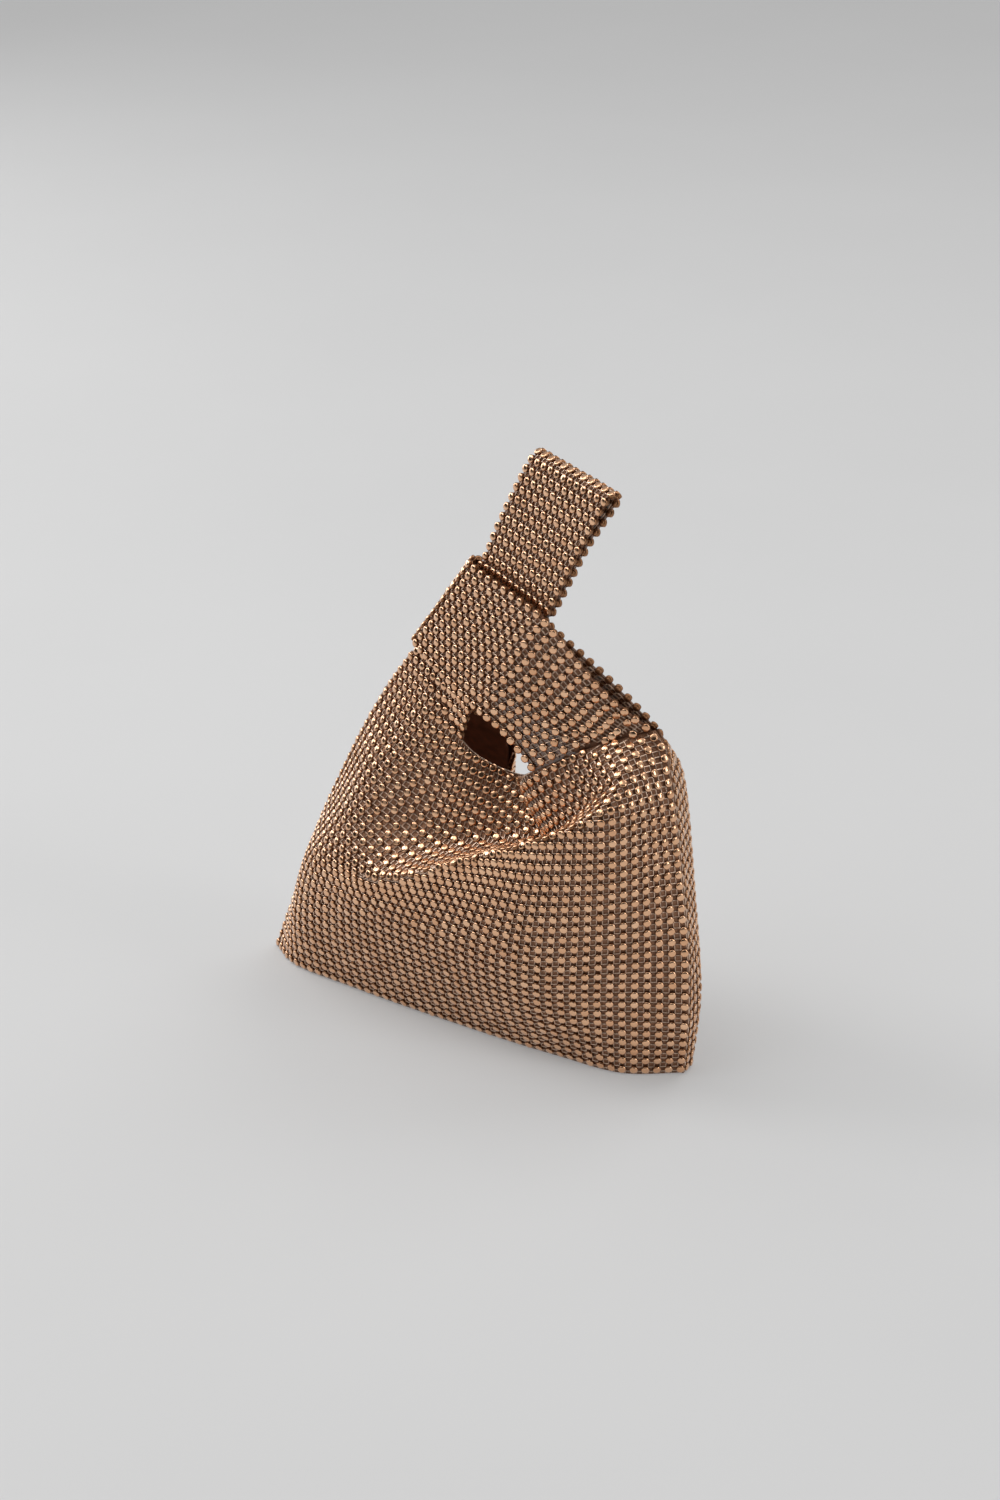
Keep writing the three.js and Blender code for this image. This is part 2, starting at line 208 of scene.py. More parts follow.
def outward(grid, sense=1):
    """Unit directions out of a grid whose rows go up and whose columns go across."""
    return unit(np.cross(np.gradient(grid, axis=1), np.gradient(grid, axis=0))) * sense


def run_lengths(points):
    """Distance along each column of a grid from its first row."""
    steps = np.linalg.norm(np.diff(points, axis=0), axis=-1)
    return np.concatenate([np.zeros((1,) + steps.shape[1:]), np.cumsum(steps, axis=0)])


def along(wanted, have, values):
    """Each coordinate of values, given at rising places, read off at the wanted places."""
    return np.stack([np.interp(wanted, have, values[:, k]) for k in range(values.shape[1])], axis=-1)


class Lattice:
    """Places, outward directions and a mask over rows and columns of the net's drawing steps."""

    def __init__(self, rows, columns):
        self.rows = np.asarray(rows)
        self.columns = np.asarray(columns)
        shape = (len(self.rows), len(self.columns))
        self.place = np.zeros(shape + (3,))
        self.out = np.zeros(shape + (3,))
        self.there = np.zeros(shape, bool)


def drawn_places(face, places, columns):
    """Where each net column runs on every level: evenly over the strap zones, and near the dart no closer
    than the net can be drawn together, so that columns drop out there."""
    nominal = columns * STEP
    where = np.repeat(nominal[None], len(face), axis=0)
    there = np.ones(where.shape, bool)
    for level, line in enumerate(face):
        for side in (-1, 1):
            inner = (side * nominal > 0) & (np.abs(nominal) < NECK_PLACE)
            run = side * np.linspace(NECK_PLACE, 0, FINE_RUN)
            reach = run_lengths(along(run, places, line)[:, None])[:, 0]
            draw = max(reach[-1] / NECK_PLACE, LEAST_DRAW)
            wanted = (NECK_PLACE - np.abs(nominal[inner])) * draw
            where[level, inner] = np.interp(wanted, reach, run)
            there[level, inner] = wanted < reach[-1] - JOINT_GAP
            sewn = side * nominal >= NECK_PLACE
            run = side * np.linspace(NECK_PLACE, HALF_CLOTH, FINE_RUN)
            reach = run_lengths(along(run, places, line)[:, None])[:, 0]
            wanted = (np.abs(nominal[sewn]) - NECK_PLACE) * reach[-1] / STRAP_WIDTH
            where[level, sewn] = np.interp(wanted, reach, run)
    return where, there


def panel_lattice(ribs, facing):
    """Net of a panel and the cloth length of each of its columns."""
    levels = np.linspace(0, 1, FINE_LEVELS)
    places = np.linspace(-HALF_CLOTH, HALF_CLOTH, FINE_PLACES)
    face = panel_face(ribs, facing, levels, places)
    out = outward(face, -facing)
    half = PANEL_STONES * STEPS_PER_STONE // 2
    columns = np.arange(-half, half + 1)
    where, there = drawn_places(face, places, columns)
    spots = np.array([along(where[j], places, face[j]) for j in range(FINE_LEVELS)])
    outs = np.array([along(where[j], places, out[j]) for j in range(FINE_LEVELS)])
    lengths = run_lengths(spots)
    rows = np.arange(0, int(lengths.max() / STEP) + 1)
    lattice = Lattice(rows, columns)
    for i in range(len(columns)):
        kept = FINE_LEVELS if there[:, i].all() else int(np.argmin(there[:, i]))
        lattice.place[:, i] = along(rows * STEP, lengths[:kept, i], spots[:kept, i])
        lattice.out[:, i] = along(rows * STEP, lengths[:kept, i], outs[:kept, i])
        lattice.there[:, i] = rows * STEP < lengths[kept - 1, i]
    lattice.out = unit(lattice.out)
    return lattice, lengths[-1]


def loop_lattice(rows, roundness, first_column, front_lengths, back_lengths):
    """Net of a strap loop; its rows follow those of the panels at its ends and lie along the fold."""
    count = STRAP_STONES * STEPS_PER_STONE
    columns = np.arange(count + 1)
    face, fold = loop_face(rows, roundness, first_column * STEP, columns / count, FINE_LOOP)
    out = outward(face)
    lengths = run_lengths(face)
    start = front_lengths / STEP
    end = back_lengths / STEP
    front = lengths[fold]
    back = lengths[-1] - front
    whole = lambda base, run: STEPS_PER_STONE * round(np.mean(base + run / STEP) / STEPS_PER_STONE)
    fold_row = whole(start, front)
    finish = fold_row + whole(end, back) - end
    numbers = np.arange(int(start.min()), int(finish.max()) + 1)
    lattice = Lattice(numbers, columns)
    for i in columns:
        up = start[i] + (fold_row - start[i]) * lengths[: fold + 1, i] / front[i]
        down = fold_row + (finish[i] - fold_row) * (lengths[fold + 1 :, i] - front[i]) / back[i]
        row = np.concatenate([up, down])
        lattice.place[:, i] = along(numbers, row, face[:, i])
        lattice.out[:, i] = along(numbers, row, out[:, i])
        lattice.there[:, i] = (numbers > start[i]) & (numbers < finish[i])
    lattice.out = unit(lattice.out)
    return lattice


def base_edges(x):
    """Front and back edges of the base at places along the bag, from the feet of the panels."""
    places = np.linspace(-HALF_CLOTH, HALF_CLOTH, FINE_PLACES)
    foot = lambda ribs, facing: panel_face(ribs, facing, [0.0], places)[0]
    inset = WALL + 2 * JOINT_GAP
    front, back = foot(FRONT_RIBS, FRONT), foot(BACK_RIBS, BACK)
    return (np.interp(x, front[:, 0], front[:, 1]) + inset, np.interp(x, back[:, 0], back[:, 1]) - inset)


def base_lattice():
    """Net of the base, whose stones face down."""
    low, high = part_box("base_panel")
    low, high = np.array(low) / MM, np.array(high) / MM
    columns = np.arange(math.ceil(low[0] / STEP), math.floor(high[0] / STEP) + 1)
    rows = np.arange(math.ceil(low[1] / STEP), math.floor(high[1] / STEP) + 1)
    lattice = Lattice(rows, columns)
    x, y = np.meshgrid(columns * STEP, rows * STEP)
    front, back = base_edges(columns * STEP)
    lattice.place = np.stack([x, y, np.zeros_like(x)], axis=-1)
    lattice.out[..., 2] = -1
    margin = STONE_PITCH / 2
    lattice.there = (y > front + margin) & (y < back - margin)
    return lattice


FRONT_NET, FRONT_LENGTHS = panel_lattice(FRONT_RIBS, FRONT)
BACK_NET, BACK_LENGTHS = panel_lattice(BACK_RIBS, BACK)
STRAP_STEPS = STRAP_STONES * STEPS_PER_STONE
LEFT_STRAP = -PANEL_STONES * STEPS_PER_STONE // 2
RIGHT_STRAP = -LEFT_STRAP - STRAP_STEPS
LONG_NET = loop_lattice(
    LONG_LOOP, LONG_FOLD, LEFT_STRAP, FRONT_LENGTHS[: STRAP_STEPS + 1], BACK_LENGTHS[: STRAP_STEPS + 1])
SHORT_NET = loop_lattice(
    SHORT_LOOP, SHORT_FOLD, RIGHT_STRAP, FRONT_LENGTHS[-STRAP_STEPS - 1 :],
    BACK_LENGTHS[-STRAP_STEPS - 1 :])
BASE_NET = base_lattice()
STRAPS = ((LONG_LOOP, LONG_FOLD, LEFT_STRAP), (SHORT_LOOP, SHORT_FOLD, RIGHT_STRAP))


class StoneMeshProperties(bpy.types.PropertyGroup):
    """Sizes and colours of the stone mesh and the lining"""

    stone_radius: FloatProperty(
        name="Stone radius", description="Radius of a stone at its girdle", default=1.55 * MM,
        unit="LENGTH", precision=5)
    stone_tilt: FloatProperty(
        name="Stone tilt", description="How far stones lean at random in their cups",
        default=0.05)
    ground_depth: FloatProperty(
        name="Ground depth", description="Depth of the ground cloth under the stone tops",
        default=1.4 * MM, unit="LENGTH", precision=5)
    ground_thickness: FloatProperty(
        name="Ground thickness", description="Thickness of the ground cloth", default=0.4 * MM,
        unit="LENGTH", precision=5)
    wire_width: FloatProperty(
        name="Wire width", description="Width of a wire of the net", default=0.55 * MM,
        unit="LENGTH", precision=5)
    wire_height: FloatProperty(
        name="Wire height", description="Height of a wire over the ground cloth", default=0.55 * MM,
        unit="LENGTH", precision=5)
    seed: IntProperty(name="Seed", description="Seed of the stones' tilt and tint", default=7)
    stone_deep: FloatVectorProperty(
        name="Deep copper", description="Darkest stones", subtype="COLOR", size=4,
        default=(0.78, 0.42, 0.225, 1))
    stone_pale: FloatVectorProperty(
        name="Pale copper", description="Lightest stones", subtype="COLOR", size=4,
        default=(0.96, 0.595, 0.365, 1))
    wire_colour: FloatVectorProperty(
        name="Net", description="Wires of the net", subtype="COLOR", size=4,
        default=(0.86, 0.64, 0.49, 1))
    ground_colour: FloatVectorProperty(
        name="Ground", description="Ground cloth behind the net", subtype="COLOR", size=4,
        default=(0.37, 0.19, 0.11, 1))
    lining_colour: FloatVectorProperty(
        name="Lining", description="Satin lining", subtype="COLOR", size=4,
        default=(0.40, 0.15, 0.08, 1))


class BagStageProperties(bpy.types.PropertyGroup):
    """Camera, light and floor"""

    camera_distance: FloatProperty(
        name="Camera distance", description="From the camera to the middle of the bag", default=1.3,
        unit="LENGTH")
    camera_azimuth: FloatProperty(
        name="Camera azimuth", description="Turn of the camera from the front to the right",
        default=math.radians(36), subtype="ANGLE")
    camera_elevation: FloatProperty(
        name="Camera elevation", description="Camera's height angle over the floor",
        default=math.radians(23), subtype="ANGLE")
    lens: FloatProperty(name="Lens", description="Focal length", default=82.56, unit="CAMERA")
    target_height: FloatProperty(
        name="Target height", description="Height of the aimed point", default=0.108, unit="LENGTH")
    floor_colour: FloatVectorProperty(
        name="Floor", description="Pale floor", subtype="COLOR", size=4, default=(0.43, 0.43, 0.43, 1))
    light_power: FloatProperty(
        name="Light power", description="Share of the studio light", default=1.0)


def select_only(piece):
    """Makes one object the selected and active one."""
    bpy.ops.object.select_all(action="DESELECT")
    piece.select_set(True)
    bpy.context.view_layer.objects.active = piece


def array_object(name, points, groups):
    """A joined mesh of many small things, from points in mm and groups of faces with as many corners."""
    mesh = bpy.data.meshes.new(name)
    mesh.vertices.add(len(points))
    mesh.vertices.foreach_set("co", (np.asarray(points) * MM).astype(np.float32).ravel())
    corners = np.concatenate([np.asarray(faces).ravel() for faces, _ in groups]).astype(np.int32)
    sizes = np.concatenate([np.full(len(faces), faces.shape[1]) for faces, _ in groups])
    slots = np.concatenate([np.full(len(faces), slot) for faces, slot in groups]).astype(np.int32)
    starts = np.concatenate([[0], np.cumsum(sizes)[:-1]]).astype(np.int32)
    mesh.loops.add(len(corners))
    mesh.loops.foreach_set("vertex_index", corners)
    mesh.polygons.add(len(sizes))
    mesh.polygons.foreach_set("loop_start", starts)
    mesh.polygons.foreach_set("material_index", slots)
    mesh.update(calc_edges=True)
    if mesh.validate(verbose=False):
        raise RuntimeError(f"{name} has faces that are not valid")
    piece = bpy.data.objects.new(name, mesh)
    bpy.context.scene.collection.objects.link(piece)
    return piece


def cloth_object(name, grid, thickness, closed=False):
    """A sheet of cloth laid over a grid of points in mm whose faces look out, thickened inwards."""
    rows, columns = grid.shape[:2]
    bpy.ops.object.select_all(action="DESELECT")
    bpy.ops.mesh.primitive_grid_add(
        x_subdivisions=columns - 1, y_subdivisions=rows - 1, size=1, location=(0, 0, 0))
    piece = bpy.context.active_object
    piece.name = piece.data.name = name
    flat = np.empty(len(piece.data.vertices) * 3, np.float32)
    piece.data.vertices.foreach_get("co", flat)
    flat = flat.reshape(-1, 3)
    column = np.rint((flat[:, 0] + 0.5) * (columns - 1)).astype(int)
    row = np.rint((flat[:, 1] + 0.5) * (rows - 1)).astype(int)
    piece.data.vertices.foreach_set("co", (grid[row, column] * MM).astype(np.float32).ravel())
    piece.data.update()
    if closed:
        bpy.ops.object.mode_set(mode="EDIT")
        bpy.ops.mesh.select_all(action="SELECT")
        bpy.ops.mesh.remove_doubles(threshold=1e-6)
        bpy.ops.object.mode_set(mode="OBJECT")
    select_only(piece)
    wall = piece.modifiers.new("cloth", "SOLIDIFY")
    wall.thickness = thickness
    wall.offset = -1
    bpy.ops.object.modifier_apply(modifier=wall.name)
    bpy.ops.object.shade_smooth()
    return piece


# Rings of a cut stone and its flared cup: share of the stone's radius, depth in mm
TABLE_RING = (0.60, 0.04)
KITE_RING = (0.82, 0.13)
GIRDLE_RING = (1.0, 0.32)
CUP_RING = (1.03, 1.48)
STONE_SIDES = 8
STONE_SPACING = 1.64
TINT_MIDDLE, TINT_SPREAD = 0.5, 0.22
STONE_FACE, CUP_FACE = 0, 1


def ring(radius, depth, sides, turn=0.0):
    """Corners of a level ring at a depth, turned by a share of one side."""
    angles = (np.arange(sides) + turn) * 2 * math.pi / sides
    return np.stack([radius * np.cos(angles), radius * np.sin(angles), np.full(sides, -depth)], axis=-1)


def stone_template(radius):
    """Points of one stone in its cup, top at zero, and its groups of faces."""
    n = STONE_SIDES
    points = np.concatenate([
        ring(TABLE_RING[0] * radius, TABLE_RING[1], n),
        ring(KITE_RING[0] * radius, KITE_RING[1], n, 0.5),
        ring(GIRDLE_RING[0] * radius, GIRDLE_RING[1], 2 * n),
        ring(CUP_RING[0] * radius, CUP_RING[1], 2 * n),
    ])
    k = np.arange(n)
    after = (k + 1) % n
    table, kite, girdle, cup = k, n + k, 2 * n + np.arange(2 * n), 4 * n + np.arange(2 * n)
    around = np.roll(girdle, -1)
    stars = np.stack([table, kite, table[after]], axis=1)
    kites = np.stack([table, np.roll(kite, 1), girdle[::2], kite], axis=1)
    first = np.stack([kite, girdle[::2], girdle[1::2]], axis=1)
    second = np.stack([kite, girdle[1::2], np.roll(girdle[::2], -1)], axis=1)
    walls = np.stack([girdle, cup, np.roll(cup, -1), around], axis=1)
    return points, [
        (table[None], STONE_FACE), (stars, STONE_FACE), (kites, STONE_FACE),
        (first, STONE_FACE), (second, STONE_FACE),
        (walls, CUP_FACE), (cup[None, ::-1], CUP_FACE),
    ]


# Rings of the back of a cup, as on the stone
BACK_DOME = ((1.0, 0.0), (0.72, -0.45))
DOME_SIDES = 10


def dome_template(radius):
    """Points of the back of one cup, base at zero, and its groups of faces."""
    n = DOME_SIDES
    points = np.concatenate([ring(share * radius, depth, n) for share, depth in BACK_DOME])
    k = np.arange(n)
    base, top = k, n + k
    sides = np.stack([base, np.roll(base, -1), np.roll(top, -1), top], axis=1)
    return points, [(top[None], CUP_FACE), (sides, CUP_FACE), (base[None, ::-1], CUP_FACE)]


def stone_sites(lattice, spacing):
    """Places and outward directions of the stones; one that would crowd another is left out."""
    rows = lattice.rows % STEPS_PER_STONE == STONE_STEP
    columns = lattice.columns % STEPS_PER_STONE == STONE_STEP
    there = lattice.there & rows[:, None] & columns[None]
    places, outs = lattice.place[there], lattice.out[there]
    tree = kdtree.KDTree(len(places))
    for index, spot in enumerate(places):
        tree.insert(spot, index)
    tree.balance()
    kept = np.ones(len(places), bool)
    for index, spot in enumerate(places):
        if kept[index]:
            for _, other, _ in tree.find_range(spot, spacing):
                if other > index:
                    kept[other] = False
    return places[kept], outs[kept]


def stood_on(places, outs, template, draw, lean):
    """Copies of a template stood on places along outward directions, each turned and leaning at random."""
    points, groups = template
    count = len(places)
    up = unit(outs + lean * draw.standard_normal((count, 3)))
    reference = np.where(np.abs(up[:, 2:]) < 0.9, (0.0, 0.0, 1.0), (0.0, 1.0, 0.0))
    across = unit(np.cross(reference, up))
    turn = draw.uniform(0, 2 * math.pi, count)[:, None]
    first = across * np.cos(turn) + np.cross(up, across) * np.sin(turn)
    second = np.cross(up, first)
    axes = np.stack([first, second, up], axis=1)
    stood = places[:, None] + np.einsum("pk,nkd->npd", points, axes)
    step = len(points) * np.arange(count)[:, None, None]
    faces = [((f[None] + step).reshape(-1, f.shape[1]), slot) for f, slot in groups]
    return stood.reshape(-1, 3), faces


def join_parts(parts):
    """One list of points and face groups from several."""
    points, groups, start = [], [], 0
    for more, faces in parts:
        points.append(more)
        groups.extend((f + start, slot) for f, slot in faces)
        start += len(more)
    return np.concatenate(points), groups


def set_tint(piece, values):
    """Stores a shade for each point of a mesh."""
    tint = piece.data.attributes.new("tint", "FLOAT", "POINT")
    tint.data.foreach_set("value", np.asarray(values, np.float32))


WIRE_CORNERS = 3
WIRE_REACH = 0.8 * STONE_PITCH


def wire(places, outs, width, height):
    """A closed three-sided wire along places, its ridge on the outward side."""
    heading = unit(np.gradient(places, axis=0))
    side = unit(np.cross(heading, outs))
    rings = np.stack([
        places - side * width / 2,
        places + side * width / 2,
        places + outs * height,
    ], axis=1)
    count = len(places)
    corner = np.arange(count - 1)[:, None] * WIRE_CORNERS + np.arange(WIRE_CORNERS)
    after = np.arange(count - 1)[:, None] * WIRE_CORNERS + np.roll(np.arange(WIRE_CORNERS), -1)
    quads = np.stack([corner, corner + WIRE_CORNERS, after + WIRE_CORNERS, after], axis=-1).reshape(-1, 4)
    last = WIRE_CORNERS * (count - 1)
    caps = np.array([[0, 1, 2], [last + 2, last + 1, last]])
    return rings.reshape(-1, 3), [(quads, 0), (caps, 0)]


def straight_runs(there, places, reach):
    """Runs of places that follow each other closely enough to be one wire."""
    near = np.linalg.norm(np.diff(places, axis=0), axis=1) < reach
    runs, run = [], []
    for k in range(len(places)):
        if run and not (there[k] and near[k - 1]):
            runs.append(run)
            run = []
        if there[k]:
            run.append(k)
    runs.append(run)
    return [r for r in runs if len(r) > 1]


def net_parts(lattice, depth, width, height, sense=1, open_edges=False):
    """Wires of a net, both ways, at a depth under the lattice; sense turns their ridges in or out, and open
    edges have no wire past the outer stones."""
    odd_rows = lattice.rows % 2 == 1
    odd_columns = lattice.columns % 2 == 1
    if open_edges:
        odd_columns[:STONE_STEP] = False
        odd_columns[-STONE_STEP:] = False
    places = lattice.place - lattice.out * depth
    outs = lattice.out * sense
    lines = []
    for i in np.flatnonzero(odd_columns & lattice.there.any(axis=0)):
        kept = odd_rows.copy()
        kept[np.flatnonzero(lattice.there[:, i])[[0, -1]]] = True
        lines.append((places[kept, i], outs[kept, i], lattice.there[kept, i]))
    for j in np.flatnonzero(odd_rows):
        lines.append((places[j, odd_columns], outs[j, odd_columns], lattice.there[j, odd_columns]))
    parts = []
    for spots, ups, is_there in lines:
        for run in straight_runs(is_there, spots, WIRE_REACH):
            parts.append(wire(spots[run], ups[run], width, height))
    return parts


def border_part(places, outs, depth, width, height):
    """A wire along an edge, at a depth under it."""
    return wire(places - outs * depth, outs, width, height)


def node_group(name, inputs, outputs):
    """A shader node group with named sockets."""
    group = bpy.data.node_groups.new(name, "ShaderNodeTree")
    for label, kind, default in inputs:
        socket = group.interface.new_socket(name=label, in_out="INPUT", socket_type=kind)
        if default is not None:
            socket.default_value = default
    for label, kind in outputs:
        group.interface.new_socket(name=label, in_out="OUTPUT", socket_type=kind)
    return group, group.nodes.new("NodeGroupInput"), group.nodes.new("NodeGroupOutput")


def math_node(nodes, link, operation, *terms):
    """Result of an operation on sockets and plain numbers."""
    node = nodes.new("ShaderNodeMath")
    node.operation = operation
    for socket, term in zip(node.inputs, terms):
        if isinstance(term, float):
            socket.default_value = term
        else:
            link(term, socket)
    return node.outputs[0]


def mottle_group():
    """Soft uneven tone between two colours, with a value for gloss and a height for bumps."""
    group, source, sink = node_group(
        "Mottle",
        [("Vector", "NodeSocketVector", None), ("Scale", "NodeSocketFloat", 200.0),
         ("Dark", "NodeSocketColor", (0.2, 0.2, 0.2, 1)), ("Light", "NodeSocketColor", (0.8, 0.8, 0.8, 1)),
         ("Gloss Low", "NodeSocketFloat", 0.2), ("Gloss High", "NodeSocketFloat", 0.4)],
        [("Color", "NodeSocketColor"), ("Roughness", "NodeSocketFloat"), ("Height", "NodeSocketFloat")])
    nodes, link = group.nodes, group.links.new
    noise = nodes.new("ShaderNodeTexNoise")
    noise.inputs["Detail"].default_value = 4.0
    link(source.outputs["Vector"], noise.inputs["Vector"])
    link(source.outputs["Scale"], noise.inputs["Scale"])
    spread = nodes.new("ShaderNodeMapRange")
    spread.inputs["From Min"].default_value = 0.3
    spread.inputs["From Max"].default_value = 0.7
    link(noise.outputs["Fac"], spread.inputs["Value"])
    tone = nodes.new("ShaderNodeMix")
    tone.data_type = "RGBA"
    link(spread.outputs["Result"], tone.inputs["Factor"])
    link(source.outputs["Dark"], tone.inputs["A"])
    link(source.outputs["Light"], tone.inputs["B"])
    gloss = nodes.new("ShaderNodeMapRange")
    link(spread.outputs["Result"], gloss.inputs["Value"])
    link(source.outputs["Gloss Low"], gloss.inputs["To Min"])
    link(source.outputs["Gloss High"], gloss.inputs["To Max"])
    link(tone.outputs["Result"], sink.inputs["Color"])
    link(gloss.outputs["Result"], sink.inputs["Roughness"])
    link(noise.outputs["Fac"], sink.inputs["Height"])
    return group


def weave_group():
    """Over and under of threads both ways, from a surface map."""
    group, source, sink = node_group(
        "Thread Weave",
        [("Vector", "NodeSocketVector", None), ("Threads Across", "NodeSocketFloat", 300.0),
         ("Threads Along", "NodeSocketFloat", 300.0)],
        [("Height", "NodeSocketFloat"), ("Mask", "NodeSocketFloat")])
    nodes, link = group.nodes, group.links.new
    split = nodes.new("ShaderNodeSeparateXYZ")
    link(source.outputs["Vector"], split.inputs["Vector"])
    waves = []
    for axis, threads in (("X", "Threads Across"), ("Y", "Threads Along")):
        turns = math_node(nodes, link, "MULTIPLY", split.outputs[axis], source.outputs[threads])
        angle = math_node(nodes, link, "MULTIPLY", turns, 2 * math.pi)
        waves.append(math_node(nodes, link, "SINE", angle))
    crossing = math_node(nodes, link, "MULTIPLY", *waves)
    mask = nodes.new("ShaderNodeMapRange")
    mask.inputs["From Min"].default_value = -1.0
    link(crossing, mask.inputs["Value"])
    link(crossing, sink.inputs["Height"])
    link(mask.outputs["Result"], sink.inputs["Mask"])
    return group


def shared_group(name, build):
    """A node group, built on first use."""
    return bpy.data.node_groups.get(name) or build()


def new_material(name):
    """A material with its shader, and helpers to add nodes and links."""
    material = bpy.data.materials.new(name)
    material.use_nodes = True
    tree = material.node_tree
    return material, tree.nodes, tree.links.new, tree.nodes["Principled BSDF"]


def place_group(nodes, group, **values):
    """A node that holds a group, with its inputs set."""
    node = nodes.new("ShaderNodeGroup")
    node.node_tree = group
    for label, value in values.items():
        node.inputs[label.replace("_", " ")].default_value = value
    return node


def shade(colour, share):
    """A colour made lighter or darker."""
    return (colour[0] * share, colour[1] * share, colour[2] * share, 1)


def mottled(nodes, link, scale, gloss, colour=None, uneven=0.0):
    """Coordinates of a piece and a mottle laid on them, of a colour made darker and lighter."""
    places = nodes.new("ShaderNodeTexCoord")
    grain = place_group(
        nodes, shared_group("Mottle", mottle_group), Scale=scale, Gloss_Low=gloss[0], Gloss_High=gloss[1])
    if colour is not None:
        grain.inputs["Dark"].default_value = shade(colour, 1 - uneven)
        grain.inputs["Light"].default_value = shade(colour, 1 + uneven)
    link(places.outputs["Object"], grain.inputs["Vector"])
    return places, grain


# Finishes: size of the grain, spread of tone and gloss, threads across and along
STONE_GRAIN, CUP_GRAIN, WIRE_GRAIN, CLOTH_GRAIN, FLOOR_GRAIN = 900.0, 700.0, 500.0, 260.0, 3.0
METAL_UNEVEN, CLOTH_UNEVEN, FLOOR_UNEVEN = 0.25, 0.3, 0.015
STONE_GLOSS = (0.10, 0.22)
STONE_COAT, STONE_COAT_GLOSS = 0.6, 0.04
# Cups and the backs of cups: copper-brown plating, made darker as painted shade under each stone
CUP_TONE_AND_SHADE = (0.36, 0.18, 0.09)
CUP_GLOSS = (0.3, 0.45)
WIRE_GLOSS = (0.25, 0.4)
GROUND_GLOSS = (0.35, 0.5)
GROUND_BUMP = 0.5
GROUND_GLEAM = 0.7
PANEL_THREADS = (400.0, 300.0)
STRAP_THREADS = (100.0, 400.0)
STRAP_COVER = 0.72
LINING_GLOSS = (0.32, 0.5)
LINING_THREADS = (520.0, 160.0)
LINING_BUMP = 0.25
# Painted light: the lining gives off a faint light of its own colour, which lifts it in the shade inside the
# bag
LINING_PAINTED_GLOW = 0.03
THREAD_SHADE = 0.35
THREAD_HEIGHT = 0.1 * MM


def stone_material(look):
    """Foiled glass: a mirror of copper tone, a shade for each stone, a clear glossy face."""
    material, nodes, link, shader = new_material("foiled_stone")
    tint = nodes.new("ShaderNodeAttribute")
    tint.attribute_name = "tint"
    tones = nodes.new("ShaderNodeMix")
    tones.data_type = "RGBA"
    tones.inputs["A"].default_value = look.stone_deep
    tones.inputs["B"].default_value = look.stone_pale
    link(tint.outputs["Fac"], tones.inputs["Factor"])
    link(tones.outputs["Result"], shader.inputs["Base Color"])
    _, grain = mottled(nodes, link, STONE_GRAIN, STONE_GLOSS)
    link(grain.outputs["Roughness"], shader.inputs["Roughness"])
    shader.inputs["Metallic"].default_value = 1.0
    shader.inputs["Coat Weight"].default_value = STONE_COAT
    shader.inputs["Coat Roughness"].default_value = STONE_COAT_GLOSS
    return material


def metal_material(name, colour, gloss, grain_scale):
    """Plated metal of uneven tone and gloss."""
    material, nodes, link, shader = new_material(name)
    _, grain = mottled(nodes, link, grain_scale, gloss, colour, METAL_UNEVEN)
    link(grain.outputs["Color"], shader.inputs["Base Color"])
    link(grain.outputs["Roughness"], shader.inputs["Roughness"])
    shader.inputs["Metallic"].default_value = 1.0
    return material


def cloth_material(name, colour, gloss, threads, bump, gleam=0.0, painted_glow=0.0, cover=1.0):
    """Woven cloth of uneven tone with fine threads. Gleam is how metallic it is, the emission strength is
    painted light, the cloth giving off light of its own colour, and cover is how much it hides what lies
    behind."""
    material, nodes, link, shader = new_material(name)
    places, grain = mottled(nodes, link, CLOTH_GRAIN, gloss, colour, CLOTH_UNEVEN)
    weave = place_group(
        nodes, shared_group("Thread Weave", weave_group), Threads_Across=threads[0], Threads_Along=threads[1])
    link(places.outputs["UV"], weave.inputs["Vector"])
    tone = nodes.new("ShaderNodeMix")
    tone.data_type = "RGBA"
    tone.blend_type = "MULTIPLY"
    tone.inputs["Factor"].default_value = THREAD_SHADE
    link(grain.outputs["Color"], tone.inputs["A"])
    link(weave.outputs["Mask"], tone.inputs["B"])
    link(tone.outputs["Result"], shader.inputs["Base Color"])
    link(grain.outputs["Roughness"], shader.inputs["Roughness"])
    relief = nodes.new("ShaderNodeBump")
    relief.inputs["Strength"].default_value = bump
    relief.inputs["Distance"].default_value = THREAD_HEIGHT
    link(weave.outputs["Height"], relief.inputs["Height"])
    link(relief.outputs["Normal"], shader.inputs["Normal"])
    shader.inputs["Metallic"].default_value = gleam
    # Painted light: the cloth gives off light of its own colour
    link(tone.outputs["Result"], shader.inputs["Emission Color"])
    shader.inputs["Emission Strength"].default_value = painted_glow
    shader.inputs["Alpha"].default_value = cover
    return material


def finish_of(name, look):
    """One of the bag's materials, made on first use."""
    made = bpy.data.materials.get(name)
    if made:
        return made
    if name == "foiled_stone":
        return stone_material(look)
    if name == "cup_metal_and_shade":
        return metal_material(name, CUP_TONE_AND_SHADE, CUP_GLOSS, CUP_GRAIN)
    if name == "net_wire":
        return metal_material(name, look.wire_colour, WIRE_GLOSS, WIRE_GRAIN)
    if name == "ground_cloth":
        return cloth_material(
            name, look.ground_colour, GROUND_GLOSS, PANEL_THREADS, GROUND_BUMP, GROUND_GLEAM)
    if name == "strap_ground":
        return cloth_material(
            name, look.ground_colour, GROUND_GLOSS, STRAP_THREADS, GROUND_BUMP, GROUND_GLEAM,
            cover=STRAP_COVER)
    return cloth_material(
        name, look.lining_colour, LINING_GLOSS, LINING_THREADS, LINING_BUMP, painted_glow=LINING_PAINTED_GLOW)


def dress(piece, slot, *materials):
    """Gives a piece its materials and its body; the slot is not used."""
    for material in materials:
        piece.data.materials.append(material)
    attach(piece, BODY)
    return piece


